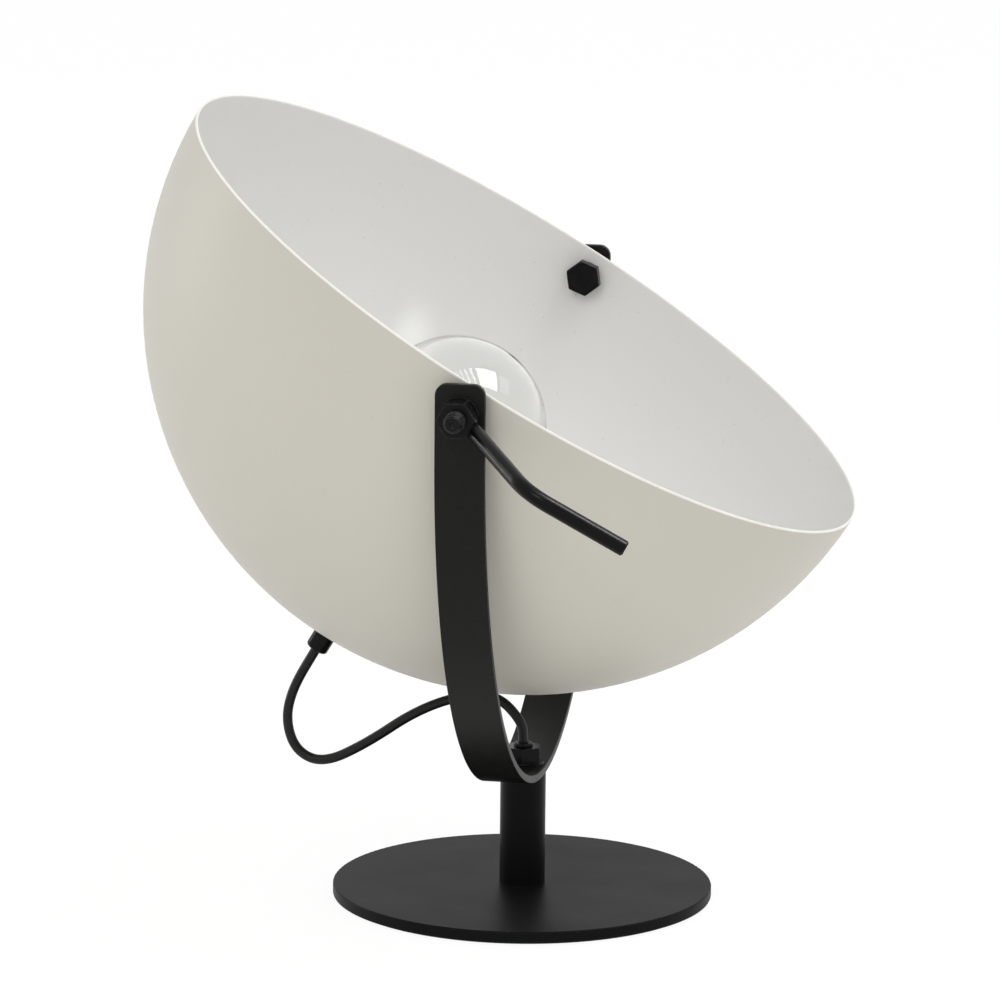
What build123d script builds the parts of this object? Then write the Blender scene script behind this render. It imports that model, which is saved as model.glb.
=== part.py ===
from build123d import *
import math
import os

# A tabletop searchlight lamp: a spun hemispherical shade hangs on two bolts in a
# flat-bar yoke, on a short post and a disc base.  A bent rod lever clamps the tilt.
# Millimetres, +Z up.  The origin is the centre of the base's underside.  The tilt
# axis lies along X with the lever at -X, and the shade opens towards -Y.

# ---------------------------------------------------------------- base and post
pad_thickness = 1.0
pad_inset = 3.0
base_diameter = 200.0
base_thickness = 6.0
base_edge_round = 0.8
post_diameter = 24.0
post_wall = 2.0
post_length = 60.5
post_edge_break = 0.8
foot_plug_length = 15.0
top_plug_length = 14.0
plug_gap = 0.1                   # radial, between a plug and the tube it is welded in
base_screw_diameter = 8.0
base_screw_head = 15.0
base_screw_reach = 12.0          # how far the screw goes into the foot plug
base_screw_key = 5.0             # across the flats of its hexagon socket
base_screw_key_depth = 3.0
screw_head_sink = 0.2
outlet_height = 22.0             # above the base plate
outlet_bore = 6.0
outlet_wall = 1.8
outlet_flange_diameter = 13.0
outlet_flange_thickness = 1.6
outlet_depth = 5.0

# --------------------------------------------------------- stud through the yoke
stud_diameter = 10.0
stud_bore = 7.0
stud_hole_clearance = 0.25       # radial
stud_proud = 1.0
saddle_washer_diameter = 22.0
saddle_washer_thickness = 1.5
gland_nut_height = 8.0
bush_wall = 0.6
bush_flange_thickness = 0.9
bush_flange_inset = 0.3          # radial, inside the stud's edge
bush_length = 9.0

# ------------------------------------------------------------------ shade
shade_radius = 200.0
shade_wall = 1.2
rest_tilt = 31.0                 # degrees from facing straight up
pivot_below_rim = 14.0
pivot_off_axis = 8.0             # the pivots sit nearer the lower lip
swing_clearance = 7.5            # between the stud and the rim's widest swing

# ------------------------------------------------------------------- yoke
bar_width = 25.0
bar_thickness = 4.0
bar_edge_round = 0.5
arm_corner_radius = 6.0
arm_above_pivot = 16.0

# ----------------------------------------------------- pivot bolts and fasteners
bolt_diameter = 10.0
hex_across_flats = 17.0
bolt_head_height = 6.4
hex_chamfer = 1.1
running_gap = 0.08               # radial, where a bolt turns in a hole or thread
thread_gap = 0.05                # radial, where a thread is tight
bolt_hole_clearance = 0.3        # radial, in pieces that turn with the bolt or lie loose
turning_gap = 0.1                # between flat faces that slide on each other
seat_gap = 0.05                  # between curved faces that are clamped together
collar_diameter = 16.0
collar_thickness = 3.0
spacer_diameter = 20.0
spacer_length = 4.6
friction_washer_diameter = 22.0
friction_washer_thickness = 1.0
washer_diameter = 20.0
washer_thickness = 2.0
pivot_nut_height = 10.0
lock_collar_height = 2.5
lock_collar_diameter = 14.6
bolt_proud_lever_side = 9.5
bolt_proud_plain_side = 3.0
bolt_root_diameter = 8.4          # under the thread, where it shows beyond the nut
bolt_point_chamfer = 0.7
bolt_centre_diameter = 4.0
bolt_centre_depth = 1.0
plain_side_head_turn = 22.5      # degrees from the front to the head's first corner
lever_side_head_turn = 22.0
lock_nut_turn = 12.0
gland_nut_turn = 8.0

# ------------------------------------------------------------------ lever
lever_diameter = 8.0
lever_drop = 28.0                # degrees below the horizontal
lever_splay = 52.5               # degrees outwards of the first leg
lever_root_leg = 68.5
lever_grip_leg = 54.0
lever_bend_radius = 24.0
lever_root_outward = 1.5         # from the middle of the nut's flat
lever_end_chamfer = 0.8

# ------------------------------------------------- cord grip and lampholder
cable_diameter = 5.2
cable_gap = 0.2                  # radial, in the grip and the bush
cable_into_grip = 4.0            # past the shade's outside
cable_straight = 2.8             # beyond the grip's end, to the first turn
cable_arc_share = 0.45           # of the shorter run, up to each arc
grip_diameter = 12.0
grip_length = 17.0
grip_edge_round = 1.6
grip_spigot_diameter = 9.8
grip_screw_diameter = 3.0
holder_washer_diameter = 20.0
holder_washer_thickness = 1.2
holder_diameter = 39.0
holder_neck_diameter = 22.0
holder_wall = 2.0
socket_wall = 1.6
holder_foot_height = 3.0
holder_shoulder_height = 6.0
holder_cap_height = 25.0
holder_length = 58.0
holder_joint_gap = 0.2
holder_boss_height = 10.0
holder_boss_wall = 2.9
spigot_below_boss = 1.0
contact_block_thickness = 7.0
contact_strip_thickness = 0.6
side_strip_width = 5.0
side_strip_foot = 3.0
centre_strip_width = 6.0
centre_strip_length = 12.0
terminal_screw_diameter = 3.0
terminal_head_diameter = 6.0
terminal_head_height = 2.2
terminal_screw_length = 5.0
terminal_offset = 10.0
terminal_slot_width = 0.8
terminal_slot_depth = 0.8
core_diameter = 1.8
core_bend_radius = 3.5
core_straight = 5.0              # at each end of a core, before it turns aside
core_gap = 0.2

# ------------------------------------------------------------------- bulb
globe_diameter = 95.0
glass_wall = 0.8
neck_above_holder = 2.9
neck_radius = 15.2
neck_blend_radius = 30.0
neck_seal_radius = 12.0
neck_seal_length = 6.0
bulb_cap_diameter = 26.1
bulb_cap_wall = 0.5
bulb_cap_length = 22.0
bulb_cap_rim_below_neck = 0.6
socket_gap = 0.3                 # radial, between the bulb's cap and the socket
insulator_height = 4.2
insulator_end_radius = 5.2
bulb_tip_radius = 4.6
bulb_tip_height = 0.8
bulb_tip_face_radius = 2.8
insulator_depth = 2.0            # inside the cap
contact_gap = 0.3                # between the bulb's cap and the contacts
stem_flare_height = 14.0
stem_flare_edge = 1.0
stem_pinch_height = 6.0
stem_pinch_radius = 2.3
stem_radius = 3.8
stem_height = 30.0
filament_ring_radius = 14.0
filament_wire_diameter = 1.0
support_wire_diameter = 0.9
support_wire_bend = 6.0
support_wire_depth = 1.5         # below the stem's top, beside the pinch
support_knee_share = 0.55        # of the filament's ring radius
filament_above_stem = 26.0
filament_arc = 250.0             # degrees of a full ring

# ------------------------------------------------------------- worked-out places
base_bottom = pad_thickness
base_top = base_bottom + base_thickness
yoke_bottom = base_top + post_length
yoke_floor = yoke_bottom + bar_thickness
gland_nut_bottom = yoke_floor + saddle_washer_thickness
stud_top = gland_nut_bottom + gland_nut_height + stud_proud
stud_bottom = yoke_bottom - top_plug_length

rim_swing = math.hypot(shade_radius + pivot_off_axis, pivot_below_rim)
pivot_height = stud_top + swing_clearance + rim_swing

pivot_offset = math.hypot(pivot_off_axis, pivot_below_rim)
pivot_reach = math.sqrt(shade_radius**2 - pivot_offset**2)
pivot_reach_inside = math.sqrt((shade_radius - shade_wall)**2 - pivot_offset**2)
spacer_face = pivot_reach + spacer_length
yoke_inside = spacer_face + friction_washer_thickness + turning_gap
yoke_outside = yoke_inside + bar_thickness
washer_face = yoke_outside + washer_thickness
nut_seat = washer_face + turning_gap
nut_face = nut_seat + pivot_nut_height
head_seat = pivot_reach_inside - collar_thickness
arc_centre_height = yoke_bottom + yoke_outside

apex = -shade_radius             # along the shade's axis, from the rim's centre
apex_inside = -(shade_radius - shade_wall)
holder_seat = -math.sqrt((shade_radius - shade_wall)**2 - (holder_washer_diameter / 2)**2)
holder_base = holder_seat + holder_washer_thickness
holder_lip = holder_base + holder_length
cap_top = holder_base + holder_cap_height
socket_radius = bulb_cap_diameter / 2 + socket_gap
globe_radius = globe_diameter / 2
neck_blend_drop = math.sqrt((globe_radius + neck_blend_radius)**2
                            - (neck_radius + neck_blend_radius)**2)
neck_end = holder_lip + neck_above_holder
globe_centre = neck_end + neck_blend_drop
bulb_cap_rim = neck_end - bulb_cap_rim_below_neck
bulb_cap_end = bulb_cap_rim - bulb_cap_length
bulb_tip_seat = bulb_cap_end - insulator_height
bulb_tip_end = bulb_tip_seat - bulb_tip_height
contact_top = bulb_tip_end - contact_gap
contact_block_top = contact_top - 3 * contact_strip_thickness
contact_block_bottom = contact_block_top - contact_block_thickness
grip_end = apex - grip_length
spigot_end = holder_base + holder_boss_height - spigot_below_boss
stem_top = neck_end + stem_height

tilt = math.radians(rest_tilt)
shade_axis = Vector(0, -math.sin(tilt), math.cos(tilt))
upper_lip = Vector(0, math.cos(tilt), math.sin(tilt))
pivot = Vector(0, 0, pivot_height)
rim_centre = pivot + shade_axis * pivot_below_rim + upper_lip * pivot_off_axis

# Local +Z runs along the shade's axis, out of its mouth, from the rim's centre.
shade_frame = Location(Plane(origin=rim_centre, x_dir=(1, 0, 0), z_dir=shade_axis))
# Local +Z runs outwards along the tilt axis from the pivot, local +X to the front.
lever_side = Location(Plane(origin=pivot, x_dir=(0, -1, 0), z_dir=(-1, 0, 0)))
plain_side = Location(Plane(origin=pivot, x_dir=(0, -1, 0), z_dir=(1, 0, 0)))


# ---------------------------------------------------------------- small helpers
def rod(diameter, low, high):
    """A round bar along Z between two heights."""
    bar = Cylinder(diameter / 2, high - low, align=(Align.CENTER, Align.CENTER, Align.MIN))
    return Pos(0, 0, low) * bar


def ring(outer, inner, low, high):
    """A round bar with a bore, both given as diameters."""
    return rod(outer, low, high) - rod(inner, low - 1, high + 1)


def turned(*corners):
    """A lathe-turned solid from the corners (radius, height) of its half section."""
    section = make_face(Polyline(*corners, close=True))
    return revolve(Plane.XZ * section, Axis.Z)


def ball_at_rim(radius):
    """A ball round the rim's centre, in row coordinates."""
    return Pos(rim_centre) * Sphere(radius)


def hexagon(across_flats, low, high, corner_at=0.0, chamfered_low=False):
    """A hexagon nut blank with chamfered corners, one of them at this angle from local X."""
    corner_diameter = across_flats / math.cos(math.radians(30))
    blank = extrude(RegularPolygon(across_flats / 2, 6, major_radius=False, rotation=corner_at),
                    high - low)
    blank = Pos(0, 0, low) * blank
    envelope = rod(corner_diameter, low, high)
    rims = envelope.edges().filter_by(GeomType.CIRCLE).sort_by(Axis.Z)
    chosen = rims if chamfered_low else rims[-1:]
    envelope = chamfer(chosen, hex_chamfer / 2, hex_chamfer)
    return blank & envelope


def tube_along(path, diameter):
    """A round wire swept along a path of lines and tangent arcs."""
    start = Plane(origin=path @ 0, z_dir=path % 0)
    return sweep(start * Circle(diameter / 2), path=path)


# ------------------------------------------------------------------ base and post
def foot_pad():
    return rod(base_diameter - 2 * pad_inset, 0, pad_thickness)


def countersunk(diameter, head, low, high):
    """A countersunk screw shape with its flat head at the low end."""
    cone = (head - diameter) / 2
    return turned((0, low), (head / 2, low), (diameter / 2, low + cone),
                  (diameter / 2, high), (0, high))


def base_plate():
    plate = rod(base_diameter, base_bottom, base_top)
    plate = fillet(plate.edges().filter_by(GeomType.CIRCLE), base_edge_round)
    gap = screw_head_sink
    return plate - countersunk(base_screw_diameter + 2 * gap, base_screw_head + 2 * gap,
                               base_bottom, base_top + 1)


def base_screw():
    start = base_bottom + screw_head_sink
    screw = countersunk(base_screw_diameter, base_screw_head, start,
                        base_top + base_screw_reach)
    key = extrude(RegularPolygon(base_screw_key / 2, 6, major_radius=False),
                  base_screw_key_depth)
    return screw - Pos(0, 0, start) * key


def post_inside_diameter():
    return post_diameter - 2 * post_wall


def outlet_frame():
    """Local +Z runs out through the post's side, away from the lever."""
    centre = (0, 0, base_top + outlet_height)
    return Location(Plane(origin=centre, x_dir=(0, 1, 0), z_dir=(1, 0, 0)))


def saddle(radius):
    """The round of the bent bar, as a cylinder across the lamp."""
    across = Cylinder(radius, 2 * bar_width, rotation=(90, 0, 0))
    return Pos(0, 0, arc_centre_height) * across


def post_tube():
    dish = yoke_outside - math.sqrt(yoke_outside**2 - (post_diameter / 2)**2)
    tube = rod(post_diameter, base_top, yoke_bottom + dish)
    rim = tube.edges().filter_by(GeomType.CIRCLE).sort_by(Axis.Z)[-1:]
    tube = chamfer(rim, post_edge_break)
    tube -= rod(post_inside_diameter(), base_top - 1, yoke_bottom + 1)
    tube -= saddle(yoke_outside + seat_gap)
    hole = rod(outlet_bore + 2 * outlet_wall + 2 * plug_gap, 0, post_diameter)
    return tube - outlet_frame() * hole


def post_foot_plug():
    plug = rod(post_inside_diameter() - 2 * plug_gap, base_top, base_top + foot_plug_length)
    return plug - rod(base_screw_diameter + 2 * thread_gap, base_top - 1,
                      base_top + foot_plug_length + 1)


def post_top_plug():
    plug = rod(post_inside_diameter() - 2 * plug_gap, stud_bottom, yoke_bottom + 1)
    plug -= saddle(yoke_outside + seat_gap)
    return plug - rod(stud_diameter + 2 * thread_gap, stud_bottom - 1, yoke_bottom + 2)


def outlet_bush():
    """The rubber bush in the post's far side, through which a mains lead leaves."""
    radius = post_diameter / 2
    sleeve = outlet_bore + 2 * outlet_wall
    bush = rod(sleeve, radius - outlet_depth, radius + 1)
    flange = rod(outlet_flange_diameter, radius - 2, radius + outlet_flange_thickness)
    edge = flange.edges().filter_by(GeomType.CIRCLE).sort_by(Axis.Z)[-1:]
    flange = fillet(edge, outlet_flange_thickness / 2)
    skin = Cylinder(radius + seat_gap, 2 * post_diameter, rotation=(90, 0, 0))
    bush = bush + (flange - skin)
    return outlet_frame() * (bush - rod(outlet_bore, 0, post_diameter))


# ------------------------------------------------------------------------- yoke
def inside_the_u(radius):
    """The area inside a U of this radius, from its bottom to the arms' tops."""
    centre = arc_centre_height
    top = pivot_height + arm_above_pivot
    bottom = ThreePointArc((-radius, centre), (0, centre - radius), (radius, centre))
    sides = Polyline((radius, centre), (radius, top), (-radius, top), (-radius, centre))
    return make_face([*bottom.edges(), *sides.edges()])


def yoke():
    section = inside_the_u(yoke_outside) - inside_the_u(yoke_inside)
    bar = extrude(Plane.XZ * section, bar_width / 2, both=True)
    corners = bar.edges().filter_by(Axis.X).group_by(Axis.Z)[-1]
    bar = fillet(corners, arm_corner_radius)
    faces = bar.faces().filter_by(Axis.Y)
    bar = fillet(faces.edges(), bar_edge_round)
    bar -= rod(stud_diameter + 2 * stud_hole_clearance, yoke_bottom - 1, yoke_floor + 1)
    return bar - lever_side * rod(bolt_diameter + 2 * running_gap,
                                  -yoke_outside - 1, yoke_outside + 1)


def saddle_washer():
    """A flat-topped washer dished underneath to the inside of the bent bar."""
    washer = ring(saddle_washer_diameter, stud_diameter + 2 * stud_hole_clearance,
                  yoke_floor - 1, gland_nut_bottom)
    return washer & saddle(yoke_inside - seat_gap)


def gland_nut():
    nut = hexagon(hex_across_flats, gland_nut_bottom, stud_top - stud_proud, gland_nut_turn)
    return nut - rod(stud_diameter + 2 * thread_gap, yoke_floor, stud_top)


def hollow_stud():
    return ring(stud_diameter, stud_bore, stud_bottom, stud_top)


def cable_bush():
    """The smooth bush in the stud's mouth that guards the cable."""
    bore = cable_diameter + 2 * cable_gap
    sleeve = ring(bore + 2 * bush_wall, bore, stud_top - bush_length, stud_top)
    flange = ring(stud_diameter - 2 * bush_flange_inset, bore, stud_top,
                  stud_top + bush_flange_thickness)
    return sleeve + flange


# ------------------------------------------------------------------ pivot hardware
def pivot_bolt(frame, proud, corner_at):
    """A hexagon bolt from inside the shade, with a centre hole in its threaded end."""
    head = hexagon(hex_across_flats, -head_seat, -head_seat + bolt_head_height, corner_at)
    head = mirror(head, Plane.XY)
    end = nut_face + proud
    thread = rod(bolt_root_diameter, nut_face - bolt_point_chamfer, end)
    point = thread.edges().filter_by(GeomType.CIRCLE).sort_by(Axis.Z)[-1:]
    thread = chamfer(point, bolt_point_chamfer)
    shank = rod(bolt_diameter, head_seat - bolt_head_height / 2, nut_face) + thread
    centre = turned((0, end - bolt_centre_depth), (bolt_centre_diameter / 2, end),
                    (bolt_centre_diameter / 2, end + 1), (0, end + 1))
    return frame * (head + shank - centre)


def head_collar(frame):
    """The round collar under a bolt head, turned to fit inside the shade."""
    bore = bolt_diameter + 2 * bolt_hole_clearance
    blank = frame * ring(collar_diameter, bore, head_seat, pivot_reach_inside + collar_thickness)
    return blank & ball_at_rim(shade_radius - shade_wall - seat_gap)


def pivot_spacer(frame):
    """The spacer outside the shade, hollowed to sit on its curve."""
    bore = bolt_diameter + 2 * bolt_hole_clearance
    blank = frame * ring(spacer_diameter, bore, pivot_reach - spacer_length, spacer_face)
    return blank - ball_at_rim(shade_radius + seat_gap)


def friction_washer(frame):
    bore = bolt_diameter + 2 * bolt_hole_clearance
    return frame * ring(friction_washer_diameter, bore, spacer_face,
                        spacer_face + friction_washer_thickness)


def arm_washer(frame):
    bore = bolt_diameter + 2 * bolt_hole_clearance
    return frame * ring(washer_diameter, bore, yoke_outside, washer_face)


def lock_nut():
    """A self-locking nut: a hexagon with a round collar that holds its insert."""
    nut = hexagon(hex_across_flats, nut_seat, nut_face - lock_collar_height, lock_nut_turn)
    nut += rod(lock_collar_diameter, nut_seat, nut_face)
    return plain_side * (nut - rod(bolt_diameter + 2 * thread_gap, nut_seat - 1, nut_face + 1))


def lever_nut():
    flat_forward = 30 - lever_drop
    nut = hexagon(hex_across_flats, nut_seat, nut_face, flat_forward, chamfered_low=True)
    return lever_side * (nut - rod(bolt_diameter + 2 * running_gap, nut_seat - 1, nut_face + 1))


def lever_rod():
    """A bent round bar, coped to stand on one flat of the lever nut."""
    flat = hex_across_flats / 2
    root = Vector(flat, 0, (nut_seat + nut_face) / 2 + lever_root_outward)
    splay = math.radians(lever_splay)
    along = Vector(math.cos(splay), 0, math.sin(splay))
    bend = root + along * lever_root_leg
    tip = bend + Vector(lever_grip_leg, 0, 0)
    path = FilletPolyline(root - along * lever_diameter, bend, tip, radius=lever_bend_radius)
    bar = tube_along(path, lever_diameter)
    end = bar.edges().filter_by(GeomType.CIRCLE).sort_by(Axis.X)[-1:]
    bar = chamfer(end, lever_end_chamfer)
    behind = 4 * lever_diameter
    bar -= Pos(flat - behind / 2, 0, root.Z) * Box(behind, behind, behind)
    return lever_side * Rot(0, 0, -lever_drop) * bar


# --------------------------------------------------------------------------- shade
def shade():
    """A spun hemisphere with an even wall and a rounded rim."""
    inner = shade_radius - shade_wall
    outside = CenterArc((0, 0), shade_radius, -90, 90)
    inside = CenterArc((0, 0), inner, -90, 90)
    rim = ThreePointArc((inner, 0), (shade_radius - shade_wall / 2, shade_wall / 2),
                        (shade_radius, 0))
    axis_line = Line((0, -shade_radius), (0, -inner))
    section = make_face([outside.edge(), rim.edge(), inside.edge(), axis_line.edge()])
    shell = revolve(Plane.XZ * section, Axis.Z)
    shell -= rod(grip_spigot_diameter + 2 * stud_hole_clearance, apex - 1, apex_inside + 1)
    bolts = rod(bolt_diameter + 2 * bolt_hole_clearance, -shade_radius, shade_radius)
    return shade_frame * shell - lever_side * bolts


def cord_grip():
    """The cable's clamp: a round head outside and a threaded spigot through the shade."""
    head = rod(grip_diameter, grip_end, apex)
    rim = head.edges().filter_by(GeomType.CIRCLE).sort_by(Axis.Z)[:1]
    head = fillet(rim, grip_edge_round)
    grip = head + rod(grip_spigot_diameter, apex - 1, spigot_end)
    grip -= rod(cable_diameter + 2 * cable_gap, grip_end - 1, spigot_end + 1)
    return shade_frame * (grip - grip_screw_hole(thread_gap))


def grip_screw_hole(gap):
    radius = grip_diameter / 2
    side = Location(Plane(origin=(0, 0, apex - grip_length / 2), z_dir=(1, 0, 0)))
    return side * rod(grip_screw_diameter + 2 * gap, cable_diameter / 2 + cable_gap / 2, radius)


def grip_screw():
    return shade_frame * grip_screw_hole(-thread_gap)


def holder_washer():
    return shade_frame * ring(holder_washer_diameter,
                              grip_spigot_diameter + 2 * stud_hole_clearance,
                              holder_seat, holder_base)


def holder_cap():
    """The lower half of the lampholder, with a boss for the cord grip's spigot."""
    bore = grip_spigot_diameter / 2 + thread_gap
    boss = bore + holder_boss_wall
    neck = holder_neck_diameter / 2
    body = holder_diameter / 2
    waist = holder_base + holder_foot_height
    shoulder = cap_top - holder_shoulder_height
    floor = waist + holder_wall
    cap = turned((bore, holder_base), (neck, holder_base), (neck, waist), (body, shoulder),
                 (body, cap_top), (body - holder_wall, cap_top),
                 (body - holder_wall, shoulder), (neck, floor), (boss, floor),
                 (boss, holder_base + holder_boss_height),
                 (bore, holder_base + holder_boss_height))
    return shade_frame * cap


def holder_body():
    """The socket half: an outer skirt and an inner screw sleeve joined at the lip."""
    body = holder_diameter / 2
    sleeve = socket_radius + socket_wall
    sleeve_end = contact_block_top + holder_joint_gap
    low = cap_top + holder_joint_gap
    lip = holder_lip - holder_wall
    shell = turned((socket_radius, sleeve_end), (socket_radius, holder_lip),
                   (body, holder_lip), (body, low), (body - holder_wall, low),
                   (body - holder_wall, lip), (sleeve, lip), (sleeve, sleeve_end))
    return shade_frame * shell


def contact_block():
    radius = holder_diameter / 2 - holder_wall - holder_joint_gap
    block = rod(2 * radius, contact_block_bottom, contact_block_top)
    for side in (-1, 1):
        block -= Pos(side * terminal_offset, 0, 0) * rod(
            terminal_screw_diameter + 2 * thread_gap, contact_block_bottom - 1,
            contact_block_bottom + terminal_screw_length)
    return shade_frame * block


def centre_contact():
    """A sprung strip that rises under the bulb's tip."""
    half = centre_strip_length / 2
    thick = contact_strip_thickness
    low = contact_block_top
    section = make_face(Polyline(
        (-half, low), (-half / 2, low), (-half / 3, contact_top - thick),
        (half / 3, contact_top - thick), (half / 2, low), (half, low),
        (half, low + thick), (half * 0.6, low + thick), (half * 0.4, contact_top),
        (-half * 0.4, contact_top), (-half * 0.6, low + thick), (-half, low + thick),
        close=True))
    return shade_frame * extrude(Plane.XZ * section, centre_strip_width / 2, both=True)


def side_contact():
    """An upright strip that meets the lower edge of the bulb's cap."""
    radius = bulb_cap_diameter / 2
    height = bulb_cap_end - contact_gap - contact_block_top
    strip = Box(contact_strip_thickness, side_strip_width, height,
                align=(Align.MAX, Align.CENTER, Align.MIN))
    foot = Box(side_strip_foot, side_strip_width, contact_strip_thickness,
               align=(Align.MAX, Align.CENTER, Align.MIN))
    inside = -radius + contact_strip_thickness
    return shade_frame * (Pos(inside + side_strip_foot, 0, contact_block_top) * foot
                          + Pos(inside, 0, contact_block_top) * strip)


def terminal_screws():
    head_low = contact_block_bottom - terminal_head_height
    screw = rod(terminal_head_diameter, head_low, contact_block_bottom)
    screw += rod(terminal_screw_diameter, head_low, contact_block_bottom + terminal_screw_length)
    slot = Pos(0, 0, head_low) * Box(terminal_head_diameter, terminal_slot_width,
                                      2 * terminal_slot_depth)
    screw -= slot
    pair = [Pos(side * terminal_offset, 0, 0) * screw for side in (-1, 1)]
    return shade_frame * Compound(children=pair)


def lead_cores():
    """The cable's two cores, from its cut end to the terminals."""
    low = spigot_end + core_gap
    under_head = contact_block_bottom - terminal_head_height - core_gap
    near = core_diameter / 2 + core_gap
    cores = []
    for side in (-1, 1):
        path = FilletPolyline(
            (side * near, 0, low), (side * near, 0, low + core_straight),
            (side * terminal_offset, 0, under_head - core_straight),
            (side * terminal_offset, 0, under_head),
            radius=core_bend_radius)
        cores.append(tube_along(path, core_diameter))
    return shade_frame * Compound(children=cores)


# ---------------------------------------------------------------------------- bulb
def globe_outline(wall):
    """The edges of the globe and neck in half section, set in from the outside by wall."""
    globe = globe_radius - wall
    blend = neck_blend_radius + wall
    neck = neck_radius - wall
    seal = neck_seal_radius - wall
    centre = (neck + blend, globe_centre - neck_blend_drop)
    reach = math.hypot(centre[0], neck_blend_drop)
    touch = (centre[0] * globe / reach, globe_centre - neck_blend_drop * globe / reach)
    angle = math.degrees(math.atan2(touch[1] - globe_centre, touch[0]))
    middle = math.radians((math.degrees(math.atan2(touch[1] - centre[1],
                                                   touch[0] - centre[0])) + 180) / 2)
    through = (centre[0] + blend * math.cos(middle), centre[1] + blend * math.sin(middle))
    low = bulb_cap_rim - neck_seal_length
    return [
        CenterArc((0, globe_centre), globe, 90, angle - 90).edge(),
        ThreePointArc(touch, through, (neck, neck_end)).edge(),
        Line((neck, neck_end), (seal, bulb_cap_rim + wall / 2)).edge(),
        Line((seal, bulb_cap_rim + wall / 2), (seal, low)).edge(),
    ]


def bulb_glass():
    low = bulb_cap_rim - neck_seal_length
    outer = globe_outline(0)
    inner = globe_outline(glass_wall)
    foot = Line((neck_seal_radius, low), (neck_seal_radius - glass_wall, low)).edge()
    pole = Line((0, globe_centre + globe_radius - glass_wall),
                (0, globe_centre + globe_radius)).edge()
    section = make_face([*outer, foot, *inner, pole])
    return shade_frame * revolve(Plane.XZ * section, Axis.Z)


def bulb_cap():
    outer = bulb_cap_diameter
    return shade_frame * ring(outer, outer - 2 * bulb_cap_wall, bulb_cap_end, bulb_cap_rim)


def bulb_insulator():
    radius = bulb_cap_diameter / 2 - bulb_cap_wall - thread_gap
    inside = bulb_cap_end + insulator_depth
    return shade_frame * turned((0, inside), (radius, inside), (radius, bulb_cap_end),
                                (insulator_end_radius, bulb_tip_seat), (0, bulb_tip_seat))


def bulb_tip():
    return shade_frame * turned((0, bulb_tip_seat), (bulb_tip_radius, bulb_tip_seat),
                                (bulb_tip_face_radius, bulb_tip_end), (0, bulb_tip_end))


def bulb_stem():
    """The glass stem that carries the wires, flared where it seals to the neck."""
    low = bulb_cap_rim - neck_seal_length
    flare = neck_seal_radius - glass_wall - thread_gap
    return shade_frame * turned((0, low), (flare, low), (flare, low + stem_flare_edge),
                                (stem_radius, low + stem_flare_height),
                                (stem_radius, stem_top - stem_pinch_height),
                                (stem_pinch_radius, stem_top), (0, stem_top))


def filament_ends():
    """Where the two supply wires meet the filament, as angles in degrees."""
    gap = (360 - filament_arc) / 2
    return -90 + gap, 270 - gap


def bulb_wires():
    """Two supply wires and three hooks that hold the filament, from the stem's pinch."""
    height = stem_top + filament_above_stem - filament_wire_diameter
    low_end, high_end = filament_ends()
    third = filament_arc / 4
    wires = []
    for angle in (low_end, low_end + third, low_end + 2 * third, low_end + 3 * third, high_end):
        turn = math.radians(angle)
        aside = Vector(math.cos(turn), math.sin(turn), 0)
        foot = (aside * (stem_pinch_radius + support_wire_diameter)
                + Vector(0, 0, stem_top - support_wire_depth))
        knee = (aside * filament_ring_radius * support_knee_share
                + Vector(0, 0, (stem_top + height) / 2))
        end = aside * filament_ring_radius + Vector(0, 0, height)
        path = FilletPolyline(foot, knee, end, radius=support_wire_bend)
        wires.append(tube_along(path, support_wire_diameter))
    return shade_frame * Compound(children=wires)


def bulb_filament():
    height = stem_top + filament_above_stem
    low_end, _ = filament_ends()
    path = Pos(0, 0, height) * CenterArc((0, 0), filament_ring_radius, low_end, filament_arc)
    return shade_frame * tube_along(path, filament_wire_diameter)


# --------------------------------------------------------------------------- cable
# The route in the plane X = 0, as (y, z): out of the grip along the shade's axis,
# round the hanging loop, over the yoke's floor and down into the stud.
cable_start = rim_centre + shade_axis * (apex + cable_into_grip)
cable_below_grip = rim_centre + shade_axis * (grip_end - cable_straight)
cable_route = [
    (124.2, 105.4), (127.6, 88.2), (121.9, 71.8), (107.0, 66.0), (84.0, 78.0),
    (57.0, 97.5), (31.0, 107.2), (12.8, 107.0), (0.0, 90.0), (0.0, 72.0),
]


def cable():
    points = [cable_start, cable_below_grip, *[Vector(0, y, z) for y, z in cable_route]]
    radii = []
    for before, corner, after in zip(points, points[1:], points[2:]):
        turn = math.radians((corner - before).get_angle(after - corner))
        shorter = min((corner - before).length, (after - corner).length)
        radii.append(cable_arc_share * shorter / math.tan(turn / 2))
    path = FilletPolyline(*points, radius=radii)
    body = tube_along(path, cable_diameter)
    section = math.pi * (cable_diameter / 2)**2
    print("cable radii", [round(r, 1) for r in radii])
    print("cable length", round(path.length, 2), "volume", round(body.volume, 1),
          "section x length", round(section * path.length, 1))
    return body


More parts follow.
